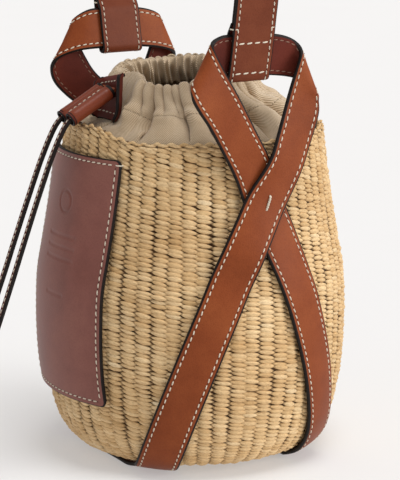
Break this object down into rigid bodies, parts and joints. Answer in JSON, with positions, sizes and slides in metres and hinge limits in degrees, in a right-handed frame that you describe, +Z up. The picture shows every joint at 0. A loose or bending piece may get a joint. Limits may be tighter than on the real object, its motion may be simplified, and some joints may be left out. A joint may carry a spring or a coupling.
{
  "type": "bucket bag",
  "caption": "Small woven basket bucket bag with a gathered canvas collar, crossed leather ribbons, a front leather panel, a swinging strap handle and a drawstring slider.",
  "frame": {"origin": "on the floor, at the middle of the bag's footprint box", "axes": "+Z up, -Y the front with the leather panel and the drawstring, +X the right of the bag as seen from its front"},
  "size_m": [0.196, 0.2581, 0.4909],
  "materials": {
    "straw": "twined dry grass cord",
    "canvas": "beige cotton twill",
    "leather": "smooth cognac leather with black painted edges",
    "panel_leather": "smooth reddish brown leather with black painted edges",
    "thread": "off-white waxed thread"
  },
  "bodies": {
    "root": {"woven_wall": "straw", "woven_base": "straw", "woven_rim_border": "straw", "pouch_lining": "canvas", "pouch_collar": "canvas", "pouch_hem_facing": "canvas", "channel_cord": "leather", "front_panel": "panel_leather", "front_panel_backing": "panel_leather", "ribbon_leg_front_right": "leather", "ribbon_leg_front_left": "leather", "ribbon_leg_back_right": "leather", "ribbon_leg_back_left": "leather", "ribbon_roll_front_right": "leather", "ribbon_roll_front_left": "leather", "ribbon_roll_back_right": "leather", "ribbon_roll_back_left": "leather", "crossing_stitch_right": "thread", "crossing_stitch_left": "thread", "drawstring_tab": "leather"},
    "handle": {"handle_outer_layer": "leather", "handle_lining_layer": "leather", "ribbon_bridge_right": "leather", "ribbon_bridge_left": "leather"},
    "cord_pair": {"cord_neck_right": "leather", "cord_neck_left": "leather"},
    "slider": {"cord_slider": "leather", "cord_tail_right": "leather", "cord_tail_left": "leather", "cord_tip_right": "leather", "cord_tip_left": "leather"}
  },
  "joints": [
    {"name": "handle_swing", "type": "hinge", "parent": "root", "child": "handle", "pos_m": [0, -0.00745, 0.222], "axis": [1, 0, 0], "range_deg": [-90, 90], "deforming": ["ribbon_roll_front_right", "ribbon_roll_front_left", "ribbon_roll_back_right", "ribbon_roll_back_left"]},
    {"name": "slider_lift", "type": "hinge", "parent": "root", "child": "cord_pair", "pos_m": [0, -0.05445, 0.2336], "axis": [-1, 0, 0], "range_deg": [0, 35]},
    {"name": "slider_slide", "type": "slide", "parent": "cord_pair", "child": "slider", "axis": [0, -0.8749, -0.4843], "range_m": [0, 0.014]}
  ]
}
